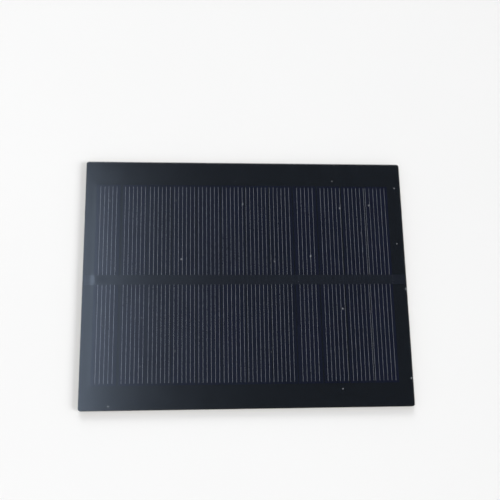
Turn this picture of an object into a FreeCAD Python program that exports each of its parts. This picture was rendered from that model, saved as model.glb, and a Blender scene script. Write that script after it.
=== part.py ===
"""Laminated solar panel: twelve silicon strips in series between a circuit board and a clear matt film.

Frame: the origin is the centre of the board's back face. +X runs along the long side, from the positive
terminal to the negative one, +Y along the short side, and +Z out of the face that takes the light.
The layers, from the back: board, lower encapsulant, strips with their printed grids and ribbons, masking
tape along the ribbons, upper encapsulant and film. All sizes are in millimetres.
"""

import FreeCAD, Part
import os
import re

import Sketcher

SHEET_NAME = "Dims"
CELL_COUNT = 12

# The driving dimensions. Each becomes an aliased cell of the document's spreadsheet.
DIMENSIONS = {
    # outline and layer thicknesses
    "panel_length": 130.0,
    "panel_width": 100.0,
    "corner_radius": 1.0,
    "board_thick": 1.5,
    "lower_thick": 0.3,
    "cell_thick": 0.2,
    "grid_thick": 0.02,
    "ribbon_thick": 0.12,
    "tape_thick": 0.06,
    "upper_thick": 0.5,
    "film_thick": 0.2,
    # silicon strips, and the grid printed on them
    "cell_width": 9.6,
    "cell_length": 80.9,
    "string_y": -0.25,
    "finger_pitch": 1.62,
    "finger_width": 0.15,
    "finger_margin": 0.8,
    "busbar_width": 1.5,
    # ribbons
    "ribbon_width": 1.6,
    "ribbon_inset": 0.7,
    "ribbon_bend": 0.08,
    "lead_lip": 0.08,
    "lead_slope": 0.35,
    "lead_reach": 3.2,
    # masking tape over the ribbons
    "tape_width": 3.9,
    "tape_end_gap": 0.4,
    "tape_y": 0.6,
    # terminals through the board
    "copper_thick": 0.05,
    "front_pad_length": 3.4,
    "front_pad_width": 2.4,
    "back_pad_length": 5.0,
    "back_pad_width": 8.0,
    "terminal_edge": 1.0,
    "via_edge": 2.0,
    "via_spacing": 1.5,
    "via_radius": 0.3,
    "joint_edge": 3.5,
    "joint_radius": 0.85,
    "joint_half_width": 1.05,
    "joint_height": 0.45,
    # polarity signs printed on the back
    "sign_size": 4.0,
    "sign_stroke": 0.8,
    "sign_edge": 10.0,
    "ink_thick": 0.02,
}

# Where each strip was laid: its left edge, from the panel's left edge. The gaps are as uneven as handwork.
CELL_LEFTS = (4.4, 15.1, 25.0, 34.9, 44.85, 54.8, 64.7, 74.6, 84.6, 94.7, 104.85, 114.75)
# Where the cuts fell in the wafer's printed grid: from a strip's left edge to the middle of its first
# finger.
FINGER_INSETS = (1.65, 0.85, 1.05, 1.0, 0.8, 0.65, 0.35, 0.2, 1.65, 1.4, 1.35, 0.3)

# Heights of the layers, as expressions on the sheet.
LOWER_TOP = "board_thick + lower_thick"
CELL_TOP = LOWER_TOP + " + cell_thick"
GRID_TOP = CELL_TOP + " + grid_thick"
RIBBON_TOP = GRID_TOP + " + ribbon_thick"
UPPER_TOP = LOWER_TOP + " + upper_thick"

doc = FreeCAD.newDocument("SolarPanel")


def numbered(name, index):
    """The name of one of a numbered set, counted from 1."""
    return f"{name}_{index + 1:02d}"


for cell_index in range(CELL_COUNT):
    DIMENSIONS[numbered("cell_left", cell_index)] = CELL_LEFTS[cell_index]
    DIMENSIONS[numbered("finger_inset", cell_index)] = FINGER_INSETS[cell_index]


def make_sheet():
    """The spreadsheet of driving dimensions: a name, a number and its alias in each row."""
    sheet = doc.addObject("Spreadsheet::Sheet", SHEET_NAME)
    for row, (name, value) in enumerate(DIMENSIONS.items(), start=1):
        sheet.set(f"A{row}", name)
        sheet.set(f"B{row}", str(value))
        sheet.setAlias(f"B{row}", name)
    doc.recompute()


def on_sheet(expression):
    """The expression with each dimension's name turned into a reference to its cell."""

    def reference(match):
        word = match.group(0)
        return f"{SHEET_NAME}.{word}" if word in DIMENSIONS else word

    return re.sub(r"[A-Za-z_][A-Za-z0-9_]*", reference, expression)


def bind(thing, **expressions):
    """Binds properties to expressions. A double underscore in a name stands for a dot."""
    for name, expression in expressions.items():
        thing.setExpression(name.replace("__", "."), on_sheet(expression))


def place(thing, x="0", y="0", z="0"):
    """Binds where an object stands in the panel's frame."""
    bind(thing, Placement__Base__x=x, Placement__Base__y=y, Placement__Base__z=z)


# Sketches and features of a body


def origin_feature(body, role):
    return next(f for f in body.Origin.OriginFeatures if f.Role == role)


def new_sketch(body, name, plane="XY_Plane", x="0", y="0", z="0"):
    """A sketch on one of the body's origin planes, with its own origin moved by bound offsets."""
    sketch = body.newObject("Sketcher::SketchObject", name)
    sketch.AttachmentSupport = (origin_feature(body, plane), [""])
    sketch.MapMode = "FlatFace"
    bind(sketch, AttachmentOffset__Base__x=x, AttachmentOffset__Base__y=y, AttachmentOffset__Base__z=z)
    return sketch


def bound_constraint(sketch, name, expression, *constraint):
    """Adds a dimensional constraint under a name and binds its value."""
    index = sketch.addConstraint(Sketcher.Constraint(*constraint))
    sketch.renameConstraint(index, name)
    sketch.setExpression("Constraints." + name, on_sheet(expression))


def closed_lines(sketch, points):
    """Joins the points with a closed chain of line segments."""
    corners = [FreeCAD.Vector(x, y, 0) for x, y in points]
    count = len(corners)
    for i in range(count):
        sketch.addGeometry(Part.LineSegment(corners[i], corners[(i + 1) % count]))
    for i in range(count):
        sketch.addConstraint(Sketcher.Constraint("Coincident", i, 2, (i + 1) % count, 1))


def add_rectangle(sketch, length, width):
    """A rectangle centred on the sketch's origin."""
    closed_lines(sketch, [(-2, -1), (2, -1), (2, 1), (-2, 1)])
    for side in (0, 2):
        sketch.addConstraint(Sketcher.Constraint("Horizontal", side))
    for side in (1, 3):
        sketch.addConstraint(Sketcher.Constraint("Vertical", side))
    sketch.addConstraint(Sketcher.Constraint("Symmetric", 0, 1, 2, 1, -1, 1))
    bound_constraint(sketch, "length", length, "DistanceX", 0, 1, 0, 2, 4.0)
    bound_constraint(sketch, "width", width, "DistanceY", 1, 1, 1, 2, 2.0)


def add_outline(sketch, corners):
    """A closed outline. Each corner is (rough x, expression for its size, rough y, expression for it).

    The rough numbers set the signs. The expressions are distances from the origin, so they stay positive.
    """
    closed_lines(sketch, [(x, y) for x, _, y, _ in corners])
    for i, (x, x_size, y, y_size) in enumerate(corners):
        for kind, rough, size in (("DistanceX", x, x_size), ("DistanceY", y, y_size)):
            if rough == 0:
                axis = -2 if kind == "DistanceX" else -1
                sketch.addConstraint(Sketcher.Constraint("PointOnObject", i, 1, axis))
                continue
            ends = (-1, 1, i, 1) if rough > 0 else (i, 1, -1, 1)
            bound_constraint(sketch, f"{kind[-1].lower()}{i}", size, kind, *ends, abs(rough))


def add_circle_pair(sketch, spacing, radius):
    """Two equal circles, one each side of the sketch's origin along its Y axis."""
    for y in (-1, 1):
        sketch.addGeometry(Part.Circle(FreeCAD.Vector(0, y, 0), FreeCAD.Vector(0, 0, 1), 0.2))
    sketch.addConstraint(Sketcher.Constraint("PointOnObject", 0, 3, -2))
    sketch.addConstraint(Sketcher.Constraint("Symmetric", 0, 3, 1, 3, -1, 1))
    sketch.addConstraint(Sketcher.Constraint("Equal", 0, 1))
    bound_constraint(sketch, "spacing", spacing, "DistanceY", 0, 3, 1, 3, 2.0)
    bound_constraint(sketch, "radius", radius, "Radius", 0, 0.2)


def add_pad(body, sketch, name, length, both_ways=False):
    """Pads a sketch along its normal, or half each way."""
    pad = body.newObject("PartDesign::Pad", name)
    pad.Profile = sketch
    if both_ways:
        pad.SideType = "Symmetric"
    bind(pad, Length=length)
    sketch.Visibility = False
    return pad


def add_fillet(body, base, name, radius, wanted):
    """Rounds the edges of the base feature for which wanted(edge) is true."""
    doc.recompute()
    edges = [f"Edge{i}" for i, e in enumerate(base.Shape.Edges, start=1) if wanted(e)]
    fillet = body.newObject("PartDesign::Fillet", name)
    fillet.Base = (base, edges)
    bind(fillet, Radius=radius)
    return fillet


def upright(edge):
    """True for an edge along Z."""
    return abs(edge.tangentAt(edge.FirstParameter).z) > 0.999


# Booleans between whole pieces


def fused(name, pieces):
    """One shape of several pieces, which stay as they are."""
    fuse = doc.addObject("Part::MultiFuse", name)
    fuse.Shapes = pieces
    fuse.Refine = False
    return fuse


def cut(name, base, tool):
    """The base without the tool."""
    result = doc.addObject("Part::Cut", name)
    result.Base = base
    result.Tool = tool
    result.Refine = False
    return result


# The pieces


def full_sheet(name, thickness, z):
    """A layer with the panel's whole outline and rounded corners."""
    body = doc.addObject("PartDesign::Body", name)
    sketch = new_sketch(body, name + "_outline")
    add_rectangle(sketch, "panel_length", "panel_width")
    pad = add_pad(body, sketch, name + "_layer", thickness)
    add_fillet(body, pad, name + "_corners", "corner_radius", upright)
    place(body, z=z)
    return body


def cell(index):
    """One silicon strip."""
    strip = doc.addObject("Part::Box", numbered("cell", index))
    bind(strip, Length="cell_width", Width="cell_length", Height="cell_thick")
    left = numbered("cell_left", index)
    place(strip, x=left + " - panel_length / 2", y="string_y - cell_length / 2", z=LOWER_TOP)
    return strip


def grid(index):
    """The silver print on one strip: a busbar across its middle, and the fingers that the cuts left on it."""
    name = numbered("grid", index)
    inset = numbered("finger_inset", index)
    body = doc.addObject("PartDesign::Body", name)
    bar_outline = new_sketch(body, name + "_bar_outline", x="cell_width / 2")
    add_rectangle(bar_outline, "cell_width", "busbar_width")
    add_pad(body, bar_outline, name + "_bar", "grid_thick")
    finger_outline = new_sketch(body, name + "_finger_outline", x=inset)
    add_rectangle(finger_outline, "finger_width", "cell_length - 2 * finger_margin")
    finger = add_pad(body, finger_outline, name + "_finger", "grid_thick")
    doc.recompute()
    pattern = body.newObject("PartDesign::LinearPattern", name + "_fingers")
    pattern.Originals = [finger]
    pattern.Direction = (origin_feature(body, "X_Axis"), [""])
    spaces = f"floor((cell_width - {inset}) / finger_pitch)"
    bind(pattern, Length=spaces + " * finger_pitch", Occurrences=spaces + " + 1")
    body.Tip = pattern
    place(body, x=numbered("cell_left", index) + " - panel_length / 2", y="string_y", z=CELL_TOP)
    return body


def interconnect(index):
    """A ribbon from the front of one strip, down the gap beside it, to the back of the next strip."""
    name = numbered("interconnect", index)
    this_left, next_left = numbered("cell_left", index), numbered("cell_left", index + 1)
    run = f"({next_left} - {this_left} + cell_width) / 2 - ribbon_inset"
    half, low = "ribbon_thick / 2", "ribbon_thick"
    step = "cell_thick + grid_thick"
    crest = step + " + ribbon_thick"
    body = doc.addObject("PartDesign::Body", name)
    profile = new_sketch(body, name + "_profile", plane="XZ_Plane")
    add_outline(
        profile,
        [
            (-9, run, 2, step),
            (-9, run, 3, crest),
            (1, half, 3, crest),
            (1, half, 0, "0"),
            (9, run, 0, "0"),
            (9, run, -1, low),
            (-1, half, -1, low),
            (-1, half, 2, step),
        ],
    )
    pad = add_pad(body, profile, name + "_strip", "ribbon_width", both_ways=True)
    doc.recompute()
    box = pad.Shape.BoundBox

    def outer_bend(edge):
        """The two bends' outer edges: across the ribbon, near its middle, at its very top or bottom."""
        middle = edge.CenterOfMass
        across = abs(edge.tangentAt(edge.FirstParameter).y) > 0.999
        at_face = min(abs(middle.z - box.ZMax), abs(middle.z - box.ZMin)) < 1e-4
        return across and at_face and abs(middle.x) < 1

    add_fillet(body, pad, name + "_bends", "ribbon_bend", outer_bend)
    gap_middle = f"({this_left} + cell_width + {next_left}) / 2"
    place(body, x=gap_middle + " - panel_length / 2", y="string_y", z=LOWER_TOP)
    return body


def lead(name, run_height, x, turned):
    """An end ribbon: a straight run on a strip, a slope off its edge and a flat foot on the board.

    It is drawn with the strip on its right, and turned half round for the other end of the panel.
    """
    run = "cell_width - ribbon_inset"
    foot_start = "lead_lip + lead_slope"
    body = doc.addObject("PartDesign::Body", name)
    profile = new_sketch(body, name + "_profile", plane="XZ_Plane")
    run_top = run_height + " + ribbon_thick"
    add_outline(
        profile,
        [
            (9, run, 3, run_height),
            (9, run, 4, run_top),
            (-1, "lead_lip", 4, run_top),
            (-2, foot_start, 1, "ribbon_thick"),
            (-6, "lead_reach", 1, "ribbon_thick"),
            (-6, "lead_reach", 0, "0"),
            (-2, foot_start, 0, "0"),
            (-1, "lead_lip", 3, run_height),
        ],
    )
    add_pad(body, profile, name + "_strip", "ribbon_width", both_ways=True)
    if turned:
        body.Placement.Rotation = FreeCAD.Rotation(FreeCAD.Vector(0, 0, 1), 180)
    place(body, x=x, y="string_y", z="board_thick")
    return body


def terminal(name, turned):
    """Tinned copper through the board: a pad on each face, joined by two plated barrels."""
    body = doc.addObject("PartDesign::Body", name)
    edge = "-panel_length / 2 + "
    back = new_sketch(body, name + "_back_outline", x=edge + "terminal_edge + back_pad_length / 2")
    add_rectangle(back, "back_pad_length", "back_pad_width")
    add_pad(body, back, name + "_back_pad", "copper_thick")
    barrels = new_sketch(body, name + "_barrel_outline", x=edge + "via_edge")
    add_circle_pair(barrels, "via_spacing", "via_radius")
    add_pad(body, barrels, name + "_barrels", "board_thick")
    front = new_sketch(
        body,
        name + "_front_outline",
        x=edge + "terminal_edge + front_pad_length / 2",
        z="board_thick - copper_thick",
    )
    add_rectangle(front, "front_pad_length", "front_pad_width")
    add_pad(body, front, name + "_front_pad", "copper_thick")
    if turned:
        body.Placement.Rotation = FreeCAD.Rotation(FreeCAD.Vector(0, 0, 1), 180)
    return body


def solder_joint(name, ribbon, side):
    """A low dome of solder over the foot of an end ribbon. The ribbon's own space is cut out of it."""
    dome = doc.addObject("Part::Ellipsoid", name + "_dome")
    dome.Angle1 = 0
    bind(dome, Radius1="joint_height", Radius2="joint_radius", Radius3="joint_half_width")
    place(dome, x=f"{side} * (panel_length / 2 - joint_edge)", y="string_y", z="board_thick")
    return cut(name, dome, ribbon)


def ink_bar(name, side, length, width):
    """A bar of white ink let into the back of the board, centred on its sign's place."""
    bar = doc.addObject("Part::Box", name)
    bind(bar, Length=length, Width=width, Height="ink_thick")
    middle = f"{side} * (panel_length / 2 - sign_edge)"
    place(bar, x=f"{middle} - ({length}) / 2", y=f"-({width}) / 2")
    return bar


def plus_mark():
    """The sign printed beside the positive terminal."""
    bar = ink_bar("plus_bar", -1, "sign_size", "sign_stroke")
    post = ink_bar("plus_post", -1, "sign_stroke", "sign_size")
    mark = fused("plus_mark", [bar, post])
    mark.Refine = True
    return mark


def minus_mark():
    """The sign printed beside the negative terminal."""
    return ink_bar("minus_mark", 1, "sign_size", "sign_stroke")


def mask_tape():
    """Black tape over the ribbons, from edge to edge of the panel."""
    tape = doc.addObject("Part::Box", "mask_tape")
    bind(tape, Length="panel_length - 2 * tape_end_gap", Width="tape_width", Height="tape_thick")
    place(tape, x="-panel_length / 2 + tape_end_gap", y="tape_y - tape_width / 2", z=RIBBON_TOP)
    return tape


def build():
    """Makes every piece, and returns those that are written out."""
    make_sheet()
    cells = [cell(i) for i in range(CELL_COUNT)]
    grids = [grid(i) for i in range(CELL_COUNT)]
    interconnects = [interconnect(i) for i in range(CELL_COUNT - 1)]
    first, last = numbered("cell_left", 0), numbered("cell_left", CELL_COUNT - 1)
    leads = [
        lead("positive_lead", "lower_thick - ribbon_thick", first + " - panel_length / 2", turned=False),
        lead(
            "negative_lead",
            "lower_thick + cell_thick + grid_thick",
            last + " + cell_width - panel_length / 2",
            turned=True,
        ),
    ]
    joints = [
        solder_joint("positive_joint", leads[0], side=-1),
        solder_joint("negative_joint", leads[1], side=1),
    ]
    terminals = [terminal("positive_terminal", False), terminal("negative_terminal", True)]
    marks = [plus_mark(), minus_mark()]
    tape = mask_tape()
    doc.recompute()

    let_in = fused("let_into_board", [*terminals, *marks])
    board = cut("backing_board", full_sheet("board_blank", "board_thick", "0"), let_in)
    lower_blank = full_sheet("lower_blank", "lower_thick", "board_thick")
    below = fused("below_strips", [*interconnects, *leads, *joints])
    lower = cut("lower_encapsulant", lower_blank, below)
    upper_blank = full_sheet("upper_blank", "upper_thick", LOWER_TOP)
    above = fused("above_board", [*cells, *grids, *interconnects, *leads, *joints, tape])
    upper = cut("upper_encapsulant", upper_blank, above)
    film = full_sheet("front_film", "film_thick", UPPER_TOP)
    doc.recompute()
    sheets = [board, lower, upper, film]
    return [*cells, *grids, *interconnects, *leads, *joints, *terminals, *marks, tape, *sheets]


def check(pieces):
    """Stops if any object failed to compute, or a piece is not one valid solid."""
    for thing in doc.Objects:
        if {"Invalid", "Error"} & set(thing.State):
            raise RuntimeError(f"{thing.Name} failed to compute: {thing.State}")
    for piece in pieces:
        if piece.Shape.isNull() or not piece.Shape.isValid() or len(piece.Shape.Solids) != 1:
            raise RuntimeError(f"{piece.Name} is not one valid solid")


def write(pieces):
    """Writes each piece to parts/, named by its label."""
    os.makedirs("parts", exist_ok=True)
    for piece in pieces:
        piece.Label = piece.Name
        piece.Shape.exportStep(f"parts/{piece.Label}.step")
        print(f"{piece.Label}: {piece.Shape.Volume:.3f} mm3")


panel_pieces = build()
check(panel_pieces)
write(panel_pieces)
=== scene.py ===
"""Solar panel: the looks of a small laminated panel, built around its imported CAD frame.

The light falls through a matt film onto silicon strips with printed silver fingers. The film, the two
encapsulant layers and the tape are made here, because their shapes are soft: the film follows what lies
under it, and the tape drapes over the ribbons. Everything else is the CAD's own mesh with a better material.
"""

import math

import bmesh
import bpy
from mathutils import Matrix, Quaternion, Vector, noise


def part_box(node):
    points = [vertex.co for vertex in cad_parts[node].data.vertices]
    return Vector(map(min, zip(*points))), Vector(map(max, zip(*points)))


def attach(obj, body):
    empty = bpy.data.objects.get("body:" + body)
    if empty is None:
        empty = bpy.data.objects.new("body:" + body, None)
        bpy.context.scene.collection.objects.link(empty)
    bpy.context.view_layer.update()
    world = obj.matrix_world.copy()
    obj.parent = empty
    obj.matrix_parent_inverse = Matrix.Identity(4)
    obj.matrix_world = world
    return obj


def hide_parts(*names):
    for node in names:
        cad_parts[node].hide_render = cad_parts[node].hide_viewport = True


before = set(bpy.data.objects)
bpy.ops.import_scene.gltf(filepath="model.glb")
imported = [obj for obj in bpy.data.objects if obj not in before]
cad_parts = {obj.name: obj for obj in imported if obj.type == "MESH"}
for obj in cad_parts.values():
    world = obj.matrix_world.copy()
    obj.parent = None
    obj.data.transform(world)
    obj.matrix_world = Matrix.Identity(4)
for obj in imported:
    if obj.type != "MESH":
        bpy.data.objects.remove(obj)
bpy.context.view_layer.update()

MM = 0.001

# Places, in millimetres, read from the frame


def box_mm(node):
    """A CAD node's lowest and highest corners in millimetres."""
    low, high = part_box(node)
    return low / MM, high / MM


FILM_HIGH = box_mm("front_film")[1]
BOARD_LOW, BOARD_HIGH = box_mm("backing_board")
TAPE_LOW, TAPE_HIGH = box_mm("mask_tape")
CELLS = sorted(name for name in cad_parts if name.startswith("cell_"))
GRIDS = sorted(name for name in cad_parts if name.startswith("grid_"))
RIBBONS = sorted(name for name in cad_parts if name.startswith("interconnect_"))
CELL_BOXES = [box_mm(name) for name in CELLS]
FIELD_LOW = Vector((min(low.x for low, _ in CELL_BOXES), CELL_BOXES[0][0].y, 0))
FIELD_HIGH = Vector((max(high.x for _, high in CELL_BOXES), CELL_BOXES[0][1].y, 0))

# Driving sizes, in millimetres

CORNER_RADIUS = 1.0
FILM_THICKNESS = 0.1
FILM_SOFT_EDGE = 0.1
FILM_DEPTH = 0.088  # how far the bare film lies below the frame's top
FIELD_RISE = 0.010  # the film over the strips
GAP_DIP = 0.003  # over each gap between strips
TAPE_RISE = 0.020  # over the tape
FOOT_RISE = 0.050  # over the left joint
WAVE_RISE = 0.008
LONG_WAVE, SHORT_WAVE = 17, 7
FIELD_SLOPE = 1.2
GAP_REACH = 0.5
DRAPE_INSET = 0.3  # the tape bends down this far inside the string's ends
DUST_SPACING = 13.0
DUST_RADIUS = 0.4
MASK_THICKNESS = 0.04
WEAVE_SIZE = 5.2
LAYER_INSET = 0.05  # the encapsulant stops this far inside the edge
LAYER_GAP = 0.01  # and this far inside its own levels in the frame
TAPE_DIP = 0.16
FLOOR_HALF = 3000.0
FLOOR_LOW, FLOOR_HIGH = -5.0, -0.02

# The camera, in millimetres and degrees

CAMERA_LENS = 53.7
CAMERA_SENSOR = 36.0
CAMERA_PLACE = Vector((-22.4, -59.7, 294.0))
CAMERA_TARGET = Vector((1.35, 12.74, 2.5))
CAMERA_ROLL = 1.06

# Materials


class Look:
    """A Principled material, with short calls for the nodes that feed it. Sizes of detail are in mm."""

    def __init__(self, name, **values):
        self.material = bpy.data.materials.new(name)
        self.material.use_nodes = True
        self.tree = self.material.node_tree
        self.surface = self.tree.nodes["Principled BSDF"]
        for socket, value in values.items():
            self.surface.inputs[socket.replace("_", " ")].default_value = value
        self.place = self.node("ShaderNodeTexCoord").outputs["Object"]

    def node(self, kind, settings=None, **inputs):
        """A node with its settings and inputs. An input is a value, or another node's output."""
        made = self.tree.nodes.new(kind)
        for key, value in (settings or {}).items():
            setattr(made, key, value)
        for key, value in inputs.items():
            socket = made.inputs[key.replace("_", " ")]
            if isinstance(value, bpy.types.NodeSocket):
                self.tree.links.new(value, socket)
            else:
                socket.default_value = value
        return made

    def feed(self, socket, value):
        self.tree.links.new(value, self.surface.inputs[socket])

    def noise(self, size, detail=2.0, stretch=(1.0, 1.0, 1.0)):
        """Noise with features of about this size, longer along an axis by its stretch."""
        scale = tuple(1 / (size * MM * s) for s in stretch)
        mapped = self.node("ShaderNodeMapping", Vector=self.place, Scale=scale).outputs[0]
        made = self.node("ShaderNodeTexNoise", Vector=mapped, Scale=1.0, Detail=detail, Roughness=0.5)
        return made.outputs["Fac"]

    def specks(self, spacing, radius):
        """1 in scattered round specks of up to this radius, and 0 between them."""
        flat = {"voronoi_dimensions": "2D"}
        cells = self.node("ShaderNodeTexVoronoi", flat, Vector=self.place, Scale=1 / (spacing * MM))
        chance = self.node("ShaderNodeSeparateColor", Color=cells.outputs["Color"]).outputs["Red"]
        reach = self.spread(chance, 0.0, radius / spacing, start=0.4)
        return self.math("LESS_THAN", cells.outputs["Distance"], reach)

    def side_walls(self):
        """1 on faces that look sideways, and 0 on those that look up or down."""
        normal = self.node("ShaderNodeNewGeometry").outputs["Normal"]
        facing = self.node("ShaderNodeSeparateXYZ", Vector=normal)
        return self.math("LESS_THAN", self.math("ABSOLUTE", facing.outputs["Z"]), 0.5)

    def blend(self, factor, first, second):
        """A colour from first to second, by factor."""
        mixed = self.node("ShaderNodeMix", {"data_type": "RGBA"})
        self.tree.links.new(factor, mixed.inputs[0])
        for socket, value in ((mixed.inputs[6], first), (mixed.inputs[7], second)):
            if isinstance(value, bpy.types.NodeSocket):
                self.tree.links.new(value, socket)
            else:
                socket.default_value = (*value, 1.0)
        return mixed.outputs[2]

    def spread(self, value, low, high, start=0.0, stop=1.0):
        """The value carried from the range start to stop into low to high."""
        ends = {"From_Min": start, "From_Max": stop, "To_Min": low, "To_Max": high}
        return self.node("ShaderNodeMapRange", Value=value, **ends).outputs[0]

    def math(self, operation, first, second=0.0):
        made = self.node("ShaderNodeMath", {"operation": operation})
        for socket, value in zip(made.inputs, (first, second)):
            if isinstance(value, bpy.types.NodeSocket):
                self.tree.links.new(value, socket)
            else:
                socket.default_value = value
        return made.outputs[0]

    def bump(self, height, depth):
        """Bump of this depth in millimetres."""
        made = self.node("ShaderNodeBump", Height=height, Distance=depth * MM, Strength=1.0)
        self.feed("Normal", made.outputs[0])


def matt_film():
    """Matt PET, mostly clear, with dust on it: it veils what is under it and spreads the highlights."""
    # The blue specular tint is painted: it gives the film's sheen a cool colour that stands in for cool
    # light, since the lamps are white.
    look = Look("matt_film", Alpha=0.3, IOR=2.0, Specular_Tint=(0.64, 0.78, 1.0, 1.0))
    grain = look.noise(0.32, detail=1.0)
    cloud = look.noise(9.0)
    speckle = look.spread(look.noise(0.45, detail=1.0), 0.0, 1.0, start=0.35, stop=0.65)
    # The veil is the film's faint haze, and its blue is painted: a tint that stands in for the cool tail of
    # the sheen.
    veil = look.blend(speckle, (0.000, 0.000, 0.002), (0.004, 0.009, 0.018))
    dust = look.specks(DUST_SPACING, DUST_RADIUS)
    look.feed("Base Color", look.blend(dust, veil, (0.40, 0.42, 0.45)))
    mottle = look.math("ADD", grain, cloud)
    look.feed("Roughness", look.spread(mottle, 0.235, 0.265, start=0.7, stop=1.3))
    look.bump(grain, 0.005)
    return look.material


def clear_encapsulant():
    """Cured EVA: clear on its faces, milky where it was trimmed at the edge."""
    look = Look("clear_encapsulant", Roughness=0.35, IOR=1.48)
    streaks = look.noise(0.6, stretch=(1.0, 1.0, 0.2))
    look.feed("Base Color", look.blend(streaks, (0.24, 0.26, 0.26), (0.44, 0.46, 0.44)))
    look.feed("Alpha", look.spread(look.side_walls(), 0.02, 0.72))
    return look.material


def silicon():
    """Textured silicon under a blue-black anti-reflection coat, which differs a little between strips."""
    look = Look("silicon", Roughness=0.5, IOR=1.12)
    lot = look.node("ShaderNodeObjectInfo").outputs["Random"]
    coat = look.blend(lot, (0.008, 0.009, 0.038), (0.012, 0.013, 0.052))
    cloud = look.noise(14.0)
    look.feed("Base Color", look.blend(look.spread(cloud, 0.0, 0.6), coat, (0.004, 0.005, 0.013)))
    look.bump(look.noise(0.12), 0.004)
    return look.material


def silver_print():
    """Fired silver paste: pale, matt and a little uneven along each finger."""
    look = Look("silver_print", Roughness=0.55, Metallic=0.35)
    wear = look.noise(0.5, detail=3.0, stretch=(1.0, 1.6, 1.0))
    tone = look.spread(wear, 0.0, 1.0, 0.35, 0.65)
    look.feed("Base Color", look.blend(tone, (0.50, 0.53, 0.60), (0.62, 0.66, 0.75)))
    look.bump(look.noise(0.1), 0.01)
    return look.material


def tinned_metal(name, tone, roughness):
    """Tin or solder over copper, with the soft ripples of a hot dip."""
    look = Look(name, Metallic=1.0)
    ripple = look.noise(0.8, detail=3.0)
    dull = tuple(0.72 * part for part in tone)
    look.feed("Base Color", look.blend(look.spread(ripple, 0.0, 1.0, 0.35, 0.7), tone, dull))
    look.feed("Roughness", look.spread(ripple, roughness, roughness + 0.15))
    look.bump(ripple, 0.03)
    return look.material


def solder_mask():
    """The board: black mask over woven glass, and bare laminate where it was cut."""
    look = Look("solder_mask", IOR=1.5)
    edge = look.side_walls()
    height = look.node("ShaderNodeSeparateXYZ", Vector=look.place).outputs["Z"]
    middle = (BOARD_LOW.z + BOARD_HIGH.z) / 2 * MM
    off_middle = look.math("ABSOLUTE", look.math("SUBTRACT", height, middle))
    core_reach = (BOARD_HIGH.z - BOARD_LOW.z) / 2 * MM - MASK_THICKNESS * MM
    core = look.math("LESS_THAN", off_middle, core_reach)
    plies = look.spread(look.noise(1.4, detail=4.0, stretch=(1.0, 1.0, 0.09)), 0.0, 1.0, 0.35, 0.65)
    laminate = look.blend(plies, (0.105, 0.085, 0.042), (0.24, 0.20, 0.11))
    mottle = look.noise(3.0, detail=4.0)
    bare_mask = look.blend(mottle, (0.010, 0.011, 0.012), (0.020, 0.021, 0.022))
    buried_mask = look.blend(mottle, (0.001, 0.002, 0.003), (0.003, 0.005, 0.006))
    buried = look.math("GREATER_THAN", height, BOARD_HIGH.z * MM * 0.999)
    mask = look.blend(buried, bare_mask, buried_mask)
    look.feed("Base Color", look.blend(look.math("MULTIPLY", edge, core), mask, laminate))
    look.feed("Roughness", look.spread(look.math("MAXIMUM", edge, buried), 0.32, 0.85))
    warp, weft = (
        look.node(
            "ShaderNodeTexWave", {"bands_direction": axis}, Vector=look.place, Scale=1 / (WEAVE_SIZE * MM)
        ).outputs["Fac"]
        for axis in "XY"
    )
    look.bump(look.math("MULTIPLY", warp, weft), 0.004)
    return look.material


def black_tape():
    """Black polyester tape."""
    look = Look("black_tape", Roughness=0.5, IOR=1.2)
    fibre = look.noise(0.5, detail=3.0, stretch=(4.0, 1.0, 1.0))
    look.feed("Base Color", look.blend(fibre, (0.016, 0.019, 0.031), (0.030, 0.034, 0.048)))
    look.bump(fibre, 0.01)
    return look.material


def white_ink():
    """Screen-printed ink, thin in places."""
    look = Look("white_ink", Roughness=0.6)
    cover = look.noise(0.25, detail=4.0)
    tone = look.spread(cover, 0.0, 1.0, 0.3, 0.6)
    look.feed("Base Color", look.blend(tone, (0.45, 0.45, 0.44), (0.82, 0.82, 0.80)))
    look.bump(cover, 0.01)
    return look.material


def pale_floor():
    """A plain pale studio floor."""
    look = Look("pale_floor", Roughness=0.9)
    cloud = look.noise(120.0)
    look.feed("Base Color", look.blend(cloud, (0.84, 0.84, 0.84), (0.87, 0.87, 0.87)))
    return look.material


# Shapes


def stations(half, step, insets):
    """Coordinates from -half to half: close together at the given insets from each end, evenly between."""
    inner = half - insets[-1]
    count = max(1, round(2 * inner / step))
    middle = [-inner + 2 * inner * i / count for i in range(count + 1)]
    low = [-half + inset for inset in insets[:-1]]
    return low + middle + [-x for x in reversed(low)]


def rounded_place(x, y, half_x, half_y, radius):
    """Carries a point of a rectangle's grid into the same rectangle with rounded corners."""
    u = abs(x) - (half_x - radius)
    v = abs(y) - (half_y - radius)
    if u <= 0 or v <= 0:
        return x, y
    reach = max(u, v)
    angle = math.atan2(v, u)
    bent_x = half_x - radius + reach * math.cos(angle)
    bent_y = half_y - radius + reach * math.sin(angle)
    return math.copysign(bent_x, x), math.copysign(bent_y, y)


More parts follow.
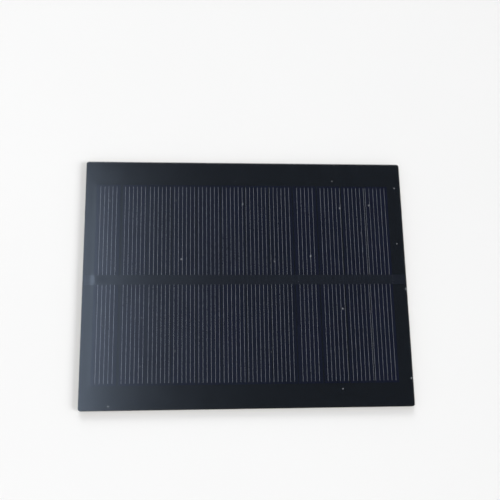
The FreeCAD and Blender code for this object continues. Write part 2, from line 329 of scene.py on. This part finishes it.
def sheet_mesh(name, centre, half, levels, step, insets, radius=0.0, drape=None, soften=0.0):
    """A closed sheet between two levels, in millimetres.

    half is half its length and half its width, drape(x, y) raises it, and soften rounds its top edge.
    """
    half_x, half_y = half
    low, high = levels
    xs = stations(half_x, step, insets)
    ys = stations(half_y, step, insets)
    shape = bmesh.new()

    def corner(i, j, level, top):
        x, y = rounded_place(xs[i], ys[j], half_x, half_y, radius)
        inset = min(half_x - abs(xs[i]), half_y - abs(ys[j]))
        px, py = x + centre[0], y + centre[1]
        z = level + (drape(px, py) if drape else 0.0)
        if top and inset < soften:
            z -= soften - math.sqrt(soften**2 - (soften - inset) ** 2)
        return shape.verts.new((px * MM, py * MM, z * MM))

    top = [[corner(i, j, high, True) for j in range(len(ys))] for i in range(len(xs))]
    bottom = [[corner(i, j, low, False) for j in range(len(ys))] for i in range(len(xs))]
    for i in range(len(xs) - 1):
        for j in range(len(ys) - 1):
            shape.faces.new((top[i][j], top[i + 1][j], top[i + 1][j + 1], top[i][j + 1]))
            shape.faces.new((bottom[i][j], bottom[i][j + 1], bottom[i + 1][j + 1], bottom[i + 1][j]))
    last_i, last_j = len(xs) - 1, len(ys) - 1
    rim = [(i, 0) for i in range(last_i)] + [(last_i, j) for j in range(last_j)]
    rim += [(i, last_j) for i in range(last_i, 0, -1)] + [(0, j) for j in range(last_j, 0, -1)]
    for (i, j), (k, m) in zip(rim, rim[1:] + rim[:1]):
        shape.faces.new((bottom[i][j], bottom[k][m], top[k][m], top[i][j]))
    bmesh.ops.recalc_face_normals(shape, faces=shape.faces)
    mesh = bpy.data.meshes.new(name)
    shape.to_mesh(mesh)
    shape.free()
    piece = bpy.data.objects.new(name, mesh)
    bpy.context.scene.collection.objects.link(piece)
    return piece


def smooth_faces(piece, angle=30.0):
    """Shades the piece smooth, but keeps edges sharper than the angle."""
    mesh = piece.data
    mesh.shade_smooth()
    mesh.set_sharp_from_angle(angle=math.radians(angle))


def step_up(value, start, stop):
    """0 before start, 1 after stop, and a smooth rise between."""
    t = min(1.0, max(0.0, (value - start) / (stop - start)))
    return t * t * (3 - 2 * t)


def plateau(value, low, high, slope):
    """1 between low and high, falling to 0 over a slope outside each."""
    return step_up(value, low - slope, low) * (1 - step_up(value, high, high + slope))


def film_drape(x, y):
    """How far the film lies from the frame's top, in millimetres: it follows what is under it."""
    field = plateau(x, FIELD_LOW.x, FIELD_HIGH.x, FIELD_SLOPE)
    field *= plateau(y, FIELD_LOW.y, FIELD_HIGH.y, FIELD_SLOPE)
    middles = [(a[1].x + b[0].x) / 2 for a, b in zip(CELL_BOXES, CELL_BOXES[1:])]
    gaps = sum(math.exp(-(((x - middle) / GAP_REACH) ** 2)) for middle in middles)
    string_start = FIELD_LOW.x + DRAPE_INSET
    band = plateau(y, TAPE_LOW.y, TAPE_HIGH.y, 0.5) * plateau(x, string_start, FIELD_HIGH.x, 1.5)
    rise = min(1.0, max(0.0, (x - FIELD_LOW.x + 1.4) / 1.7))
    ramp = rise * (1 - step_up(x, string_start, FIELD_LOW.x + 6))
    foot = ramp * plateau(y, TAPE_LOW.y + 1.2, TAPE_HIGH.y - 1.0, 1.0)
    long_wave = noise.noise(Vector((x / LONG_WAVE, y / LONG_WAVE, 3.7)))
    short_wave = noise.noise(Vector((x / SHORT_WAVE, y / SHORT_WAVE, 8.1)))
    wave = long_wave + 0.5 * short_wave
    return (
        -FILM_DEPTH
        + FIELD_RISE * field
        - GAP_DIP * gaps * field
        + TAPE_RISE * band
        + FOOT_RISE * foot
        + WAVE_RISE * wave
    )


def front_film():
    film = sheet_mesh(
        "matt_front_film",
        (0.0, 0.0),
        (FILM_HIGH.x, FILM_HIGH.y),
        (FILM_HIGH.z - FILM_THICKNESS, FILM_HIGH.z),
        step=0.5,
        insets=(0.0, 0.02, 0.05, 0.1, 0.2, 0.4, 0.7, 1.0),
        radius=CORNER_RADIUS,
        drape=film_drape,
        soften=FILM_SOFT_EDGE,
    )
    smooth_faces(film)
    finish_piece(film, matt_film(), "front_film")


def encapsulant_layers():
    clear = clear_encapsulant()
    for node in ("lower_encapsulant", "upper_encapsulant"):
        low, high = box_mm(node)
        layer = sheet_mesh(
            node.replace("encapsulant", "clear_layer"),
            (0.0, 0.0),
            (high.x - LAYER_INSET, high.y - LAYER_INSET),
            (low.z + LAYER_GAP, high.z - LAYER_GAP),
            step=5.0,
            insets=(0.0, 0.2, 0.45, 0.7, 1.0),
            radius=CORNER_RADIUS,
        )
        finish_piece(layer, clear, node)


def tape_drape(x, y):
    """How far the tape lies from its level over the strips: it drapes lower past the string's ends."""
    over_string = plateau(x, FIELD_LOW.x + DRAPE_INSET, FIELD_HIGH.x - DRAPE_INSET, 1.0)
    return -TAPE_DIP * (1 - over_string)


def mask_tape():
    centre = (TAPE_LOW + TAPE_HIGH) / 2
    size = (TAPE_HIGH - TAPE_LOW) / 2
    tape = sheet_mesh(
        "draped_mask_tape",
        (centre.x, centre.y),
        (size.x, size.y),
        (TAPE_LOW.z, TAPE_HIGH.z),
        step=0.65,
        insets=(0.0, 0.3),
        drape=tape_drape,
    )
    smooth_faces(tape)
    finish_piece(tape, black_tape(), "mask_tape")


def finish_piece(piece, material, replaced):
    """Gives a piece made here its material and its body, and hides the CAD node that it stands for."""
    piece.data.materials.clear()
    piece.data.materials.append(material)
    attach(piece, "root")
    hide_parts(replaced)


def dress(nodes, material):
    """Gives CAD nodes a material."""
    for name in nodes:
        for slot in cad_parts[name].material_slots:
            slot.material = material


# The stage


def add_floor():
    half = (FLOOR_HALF, FLOOR_HALF)
    floor = sheet_mesh(
        "floor", (0.0, 0.0), half, (FLOOR_LOW, FLOOR_HIGH), step=FLOOR_HALF / 2, insets=(0.0, 500.0)
    )
    floor.data.materials.append(pale_floor())


def aim(thing, place, target, roll=0.0):
    """Puts a thing at a place, looking at the target, with the panel's +Y up in its view, then rolls it."""
    forward = (target - place).normalized()
    right = forward.cross(Vector((0, 1, 0))).normalized()
    up = right.cross(forward)
    turn = Quaternion(forward, roll)
    right, up = turn @ right, turn @ up
    facing = Matrix((right, up, -forward)).transposed()
    thing.matrix_world = Matrix.LocRotScale(place, facing.to_quaternion(), None)


def direction_at(tilt_x, tilt_y):
    """The direction tilted from straight up towards +X and +Y by these degrees."""
    return Vector((math.tan(math.radians(tilt_x)), math.tan(math.radians(tilt_y)), 1)).normalized()


def add_lamp(light, place):
    """Puts a light at a place, looking at the panel."""
    lamp = bpy.data.objects.new(light.name, light)
    bpy.context.scene.collection.objects.link(lamp)
    aim(lamp, place, Vector((0, 0, 0)))


def add_softbox(name, tilt_x, tilt_y, distance, size_x, size_y, power):
    """A soft rectangular light, with its distance and size in metres."""
    light = bpy.data.lights.new(name, "AREA")
    light.shape = "RECTANGLE"
    light.size = size_x
    light.size_y = size_y
    light.energy = power
    add_lamp(light, direction_at(tilt_x, tilt_y) * distance)


def add_fill(name, tilt_x, tilt_y, breadth, strength):
    """Even soft light over the whole floor, as from a source this many degrees across."""
    light = bpy.data.lights.new(name, "SUN")
    light.angle = math.radians(breadth)
    light.energy = strength
    add_lamp(light, direction_at(tilt_x, tilt_y))


def add_world():
    """A soft studio round the panel: bright near the floor, dim overhead."""
    world = bpy.data.worlds.new("studio")
    bpy.context.scene.world = world
    world.use_nodes = True
    tree = world.node_tree
    place = tree.nodes.new("ShaderNodeTexCoord")
    split = tree.nodes.new("ShaderNodeSeparateXYZ")
    ramp = tree.nodes.new("ShaderNodeValToRGB")
    tree.links.new(place.outputs["Generated"], split.inputs[0])
    tree.links.new(split.outputs["Z"], ramp.inputs[0])
    tree.links.new(ramp.outputs[0], tree.nodes["Background"].inputs["Color"])
    stops = ramp.color_ramp.elements
    stops[0].position, stops[0].color = 0.0, (0.85, 0.85, 0.85, 1)
    stops[1].position, stops[1].color = 0.92, (0.02, 0.02, 0.02, 1)
    for position, tone in ((0.5, 0.75), (0.75, 0.3)):
        stop = stops.new(position)
        stop.color = (tone, tone, tone, 1)


def add_camera():
    data = bpy.data.cameras.new("camera")
    data.sensor_width = CAMERA_SENSOR
    data.lens = CAMERA_LENS
    data.clip_start = 0.01
    camera = bpy.data.objects.new("camera", data)
    bpy.context.scene.collection.objects.link(camera)
    aim(camera, CAMERA_PLACE * MM, CAMERA_TARGET * MM, math.radians(CAMERA_ROLL))
    bpy.context.scene.camera = camera


front_film()
encapsulant_layers()
mask_tape()
dress(CELLS, silicon())
dress(GRIDS, silver_print())
dress([*RIBBONS, "positive_lead", "negative_lead"], tinned_metal("tinned_ribbon", (0.72, 0.72, 0.70), 0.3))
dress(["positive_joint", "negative_joint"], tinned_metal("solder", (0.70, 0.70, 0.69), 0.18))
dress(["positive_terminal", "negative_terminal"], tinned_metal("tinned_copper", (0.75, 0.74, 0.70), 0.25))
dress(["backing_board"], solder_mask())
dress(["plus_mark", "minus_mark"], white_ink())

add_floor()
add_world()
add_softbox("window", tilt_x=-16.0, tilt_y=-3.0, distance=1.0, size_x=0.08, size_y=0.95, power=3.05)
add_fill("right_fill", tilt_x=55, tilt_y=-20, breadth=28, strength=1.5)
add_fill("back_fill", tilt_x=-10, tilt_y=58, breadth=28, strength=1.05)
add_camera()
bpy.context.scene.view_settings.view_transform = "Standard"
